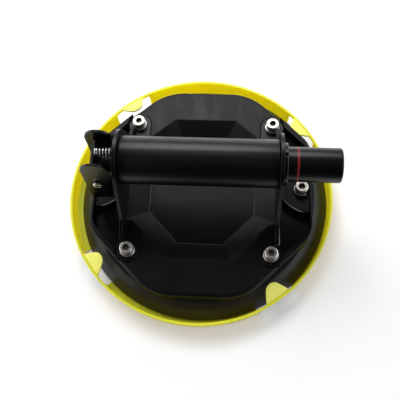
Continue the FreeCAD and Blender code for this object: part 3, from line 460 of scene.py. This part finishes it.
# %% Model the rubber pad
pad_low, pad_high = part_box("vacuum_pad")
plate_low, plate_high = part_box("pad_plate")
seat = plate_high.x + 0.2 * MM
lip = pad_high.x
floor = pad_low.z
top = pad_high.z
inner = 12 * MM
ceiling = 7.0 * MM
first_rib = 34 * MM
rib_pitch = 17 * MM
rib_foot, rib_tip = 1.6 * MM, 0.5 * MM
rib_low = ceiling - 1.2 * MM

# down the seat of the plate and in along its underside
pad_line = [(seat, top - 0.6 * MM), (seat, plate_low.z), (seat - 20 * MM, plate_low.z),
            (inner, plate_low.z), (inner, ceiling + 1 * MM), (inner + 2 * MM, ceiling)]
# out again along the ribs
for number in range(3):
    middle = first_rib + number * rib_pitch
    pad_line += [(middle - rib_foot, ceiling), (middle - rib_tip, rib_low),
                 (middle + rib_tip, rib_low), (middle + rib_foot, ceiling)]
# round the lip, and up the flank to the seat
pad_line += [
    (plate_high.x - 1 * MM, ceiling), (lip - 7 * MM, floor + 2.2 * MM),
    (lip - 4.5 * MM, floor), (lip - 1.5 * MM, floor), (lip, floor + 0.6 * MM),
    (lip, floor + 2.2 * MM), (lip - 0.8 * MM, floor + 4.2 * MM),
    (lip - 5.0 * MM, floor + 9.5 * MM), (lip - 9.5 * MM, top - 2.0 * MM),
    (lip - 11.0 * MM, top), (seat + 0.8 * MM, top)]
pad = lathe("rubber_pad", smooth_outline(pad_line, 4), 192)
pad.data.materials.append(rubber("pad_rubber", (0.006, 0.006, 0.0065), 0.42))
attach(pad, "root")
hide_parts("vacuum_pad")
print("rubber pad:", len(pad.data.vertices), "points")

# %% [markdown]
# ## Beads and lips on the base
#
# The floor of the base's recess is a separate insert in the mould, and the
# joint leaves a fine bead all round it. The edges of the side pockets and of
# the islands in them get beads too. Half a millimetre is too small for the
# CAD model, but it shows as one thin line. The beads are coloured lighter
# than the nylon, the lips much lighter and bluish: painted highlights, the
# line of light that these rounded edges catch. A curve with a round section
# is the shortest way to make it; the open ones taper towards their ends.

# %% Lay a bead along a line
def laid_bead(name, points, radius, closed, finish):
    """A thin round bead through the points, which are in millimetres."""
    curve = bpy.data.curves.new(name, "CURVE")
    curve.dimensions = "3D"
    curve.bevel_depth = radius
    curve.bevel_resolution = 2
    curve.use_fill_caps = not closed
    line = curve.splines.new("POLY")
    line.points.add(len(points) - 1)
    for number, place in enumerate(points):
        line.points[number].co = (*(v * MM for v in place), 1)
        if not closed:
            along = number / (len(points) - 1)
            line.points[number].radius = min(0.3 + along, 1.0, 6 * (1.05 - along))
    line.use_cyclic_u = closed
    piece = bpy.data.objects.new(name, curve)
    bpy.context.scene.collection.objects.link(piece)
    curve.materials.append(finish)
    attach(piece, "root")
    print(name, "through", len(points), "points")


# %% The bead round the recess floor
# The bead's lighter colour is a painted highlight.
painted_bead_highlight = black_finish("painted_bead_highlight", (0.030, 0.030, 0.036), 0.36, 0.5 * MM,
                           0.003 * MM, 0.6)
under_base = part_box("base_body")[0].z / MM
floor_height = under_base + 6.05
corner_pair = [(42.3, 20.0), (17.8, 45.8)]
octagon = corner_pair + [(-x, y) for x, y in reversed(corner_pair)]
octagon += [(-x, -y) for x, y in octagon]
laid_bead("floor_bead", [(x, y, floor_height) for x, y in octagon], 0.35 * MM, True,
          painted_bead_highlight)

# %% The lips of the four side pockets and of the islands in them
# Their light bluish colour is a painted highlight.
painted_lip_highlight = black_finish("painted_lip_highlight", (0.16, 0.16, 0.20), 0.36, 0.5 * MM,
                             0.003 * MM, 0.6)
pocket_lip = [(61.4, 24.0, 13.9), (61.4, 30.0, 13.7), (61.4, 40.0, 13.4),
              (61.4, 45.0, 13.1), (61.4, 48.0, 13.2)]
island_lip = [(61.8, 4.3), (62.9, 6.2), (64.2, 8.1), (65.6, 9.8), (67.1, 11.5),
              (68.7, 13.0), (70.5, 14.3), (72.4, 15.6), (74.3, 16.7), (76.3, 17.6),
              (78.4, 18.4), (80.6, 19.0)]
island_height = under_base + 13.3
for end, sx, sy in (("left_front", -1, -1), ("left_rear", -1, 1),
                    ("right_front", 1, -1), ("right_rear", 1, 1)):
    laid_bead("lip_" + end, [(sx * x, sy * y, under_base + z) for x, y, z in pocket_lip],
              0.90 * MM, False, painted_lip_highlight)
    laid_bead("island_lip_" + end, [(sx * x, sy * y, island_height) for x, y in island_lip],
              0.55 * MM, False, painted_lip_highlight)

# %% [markdown]
# ## Coil springs
#
# A coil is a helix with a round section. Real ones have a dead turn at each
# end, wound flat so that the spring stands straight. The centre line is
# worked out turn by turn, the pitch closing to the wire's thickness at both
# ends, and a curve with a round bevel gives it the wire. It is then made a
# mesh, and each spring is given a mesh of its own.

# %% Wind a spring along the X axis
STEPS_PER_TURN = 20
DEAD_TURNS = 1.0


def coil_spring(name, start, end, height, radius, wire, turns):
    """A spring between two faces at x = start and x = end."""
    first, last = start + wire / 2, end - wire / 2
    pitch = (last - first - 2 * DEAD_TURNS * wire) / (turns - 2 * DEAD_TURNS)
    curve = bpy.data.curves.new(name, "CURVE")
    curve.dimensions = "3D"
    curve.bevel_depth = wire / 2
    curve.bevel_resolution = 3
    curve.use_fill_caps = True
    line = curve.splines.new("POLY")
    line.points.add(turns * STEPS_PER_TURN)
    x = first
    for number in range(turns * STEPS_PER_TURN + 1):
        done = number / STEPS_PER_TURN
        angle = 2 * math.pi * done
        line.points[number].co = (x, radius * math.cos(angle),
                                  height + radius * math.sin(angle), 1)
        near_end = min(done, turns - done) < DEAD_TURNS
        x += (wire if near_end else pitch) / STEPS_PER_TURN
    spool = bpy.data.objects.new(name + "_line", curve)
    bpy.context.scene.collection.objects.link(spool)
    bpy.context.view_layer.update()
    mesh = bpy.data.meshes.new_from_object(
        spool.evaluated_get(bpy.context.evaluated_depsgraph_get()))
    bpy.data.objects.remove(spool)
    mesh.name = name
    piece = bpy.data.objects.new(name, mesh)
    bpy.context.scene.collection.objects.link(piece)
    for face in mesh.polygons:
        face.use_smooth = True
    piece.data.materials.clear()
    piece.data.materials.append(spring_wire)
    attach(piece, "root")
    print(name, round((end - start) / MM, 1), "mm long,", turns, "turns")
    return piece


# %% The lever's spring and the pump's return spring
spring_wire = metal("spring_wire", (0.80, 0.80, 0.82), 0.13)
lever_low, lever_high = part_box("lever_spring")
lever_coil = coil_spring(
    "lever_coil", lever_low.x, lever_high.x, (lever_low.z + lever_high.z) / 2,
    3.5 * MM, 0.9 * MM, 7)
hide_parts("lever_spring")
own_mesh(lever_coil)

pump_low, pump_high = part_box("return_spring")
pump_coil = coil_spring(
    "pump_coil", pump_low.x, pump_high.x, (pump_low.z + pump_high.z) / 2,
    (pump_high.y - pump_low.y) / 2 - 0.7 * MM, 1.4 * MM, 11)
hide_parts("return_spring")
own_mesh(pump_coil)

# %% [markdown]
# ## Table and light
#
# The lifter lies on a white table. The table is a plain surface that takes
# the object's shadow; seen by the camera, or in a reflection, it also glows
# a little, so that it comes out white without any more light falling on the
# object. In front of the lifter the table is covered with dark cloth, as
# gloss sees it: a mirror-black tube needs something dark to mirror.

# %% White table
def white_table():
    made, f = material("white_table")
    _, mirrored, _, anyone = f.rays()
    paper = f.node("ShaderNodeBsdfDiffuse", None, {"Color": (0.815, 0.815, 0.825)})
    glow = f.node("ShaderNodeEmission", None, {"Color": (1, 1, 1), "Strength": 0.18 * anyone})
    both = f.node("ShaderNodeAddShader", None, [paper, glow])
    front = 1 - f.step(f.along("Y"), -0.20, -0.12)
    unlit = f.node("ShaderNodeEmission", None, {"Color": (1, 1, 1), "Strength": 0.06})
    table = f.node("ShaderNodeMixShader", None, [front * mirrored, both, unlit])
    f.node("ShaderNodeOutputMaterial", None, [table])
    return made


bpy.ops.mesh.primitive_plane_add(size=12, location=(0, 0, -0.05 * MM))
table = bpy.context.object
table.name = "table"
table.data.materials.append(white_table())

# %% [markdown]
# The room is dark overhead and in front. Behind the table hangs white paper,
# which rises only a little above the table's edge, and two faintly blue
# cards stand at the sides. Gloss shows all that; the camera sees plain
# white, and the light that matt surfaces gather is made even, so that no
# colour depends on the room.

# %% Room
def room():
    world = bpy.data.worlds.new("room")
    bpy.context.scene.world = world
    world.use_nodes = True
    f = Finish(world.node_tree)
    direction = f.node("ShaderNodeTexCoord", output="Generated")
    up = f.along("Z", direction)
    back = f.along("Y", direction)
    side = f.along("X", direction)
    paper = (1 - f.step(up, 0.10, 0.26)) * f.step(back, -0.25, 0.25)
    beside = f.step(side.math("ABSOLUTE", side), 0.45, 0.75)
    cards = beside * (1 - f.step(up, 0.45, 0.70)) * f.step(back, -0.70, -0.40)
    seen, mirrored, through, anyone = f.rays()
    dim = 0.01
    overhead = 0.07 * f.step(up, 0.80, 0.95)
    shown = dim + overhead + 0.65 * paper + 2.4 * cards
    soft = 0.54
    strength = seen + (mirrored + through) * shown + (1 - anyone) * soft
    tint = f.mix(cards * (1 - seen), (1, 1, 1), (0.82, 0.87, 1.0))
    glow = f.node("ShaderNodeBackground", None, {"Color": tint, "Strength": strength})
    f.node("ShaderNodeOutputWorld", None, [glow])


room()


# %% [markdown]
# Two soft boxes stand behind the table. The key box is a low, near strip,
# just high enough for the handle to shade the recess. The other is larger,
# stands farther left and lays the shadow on the table; gloss doesn't show it.

# %% Lamps
def soft_box(name, azimuth, elevation, distance, width, height, glow, in_gloss=True):
    """A soft box that looks at the object; azimuth 0 is in front."""
    a, e = math.radians(azimuth), math.radians(elevation)
    away = Vector((math.sin(a) * math.cos(e), -math.cos(a) * math.cos(e), math.sin(e)))
    lamp = bpy.data.objects.new(name, bpy.data.lights.new(name, "AREA"))
    bpy.context.scene.collection.objects.link(lamp)
    lamp.data.shape = "RECTANGLE"
    lamp.data.size = width
    lamp.data.size_y = height
    lamp.data.energy = glow * math.pi * width * height
    lamp.visible_glossy = in_gloss
    lamp.location = away * distance
    lamp.rotation_mode = "QUATERNION"
    lamp.rotation_quaternion = away.to_track_quat("Z", "Y")
    print(name, round(lamp.data.energy, 1), "W from", azimuth, elevation)
    return lamp


soft_box("key_box", 190, 49, 0.6, 0.5, 0.27, 4.6)
soft_box("table_box", 218, 52, 1.5, 0.9, 0.9, 4.2, in_gloss=False)
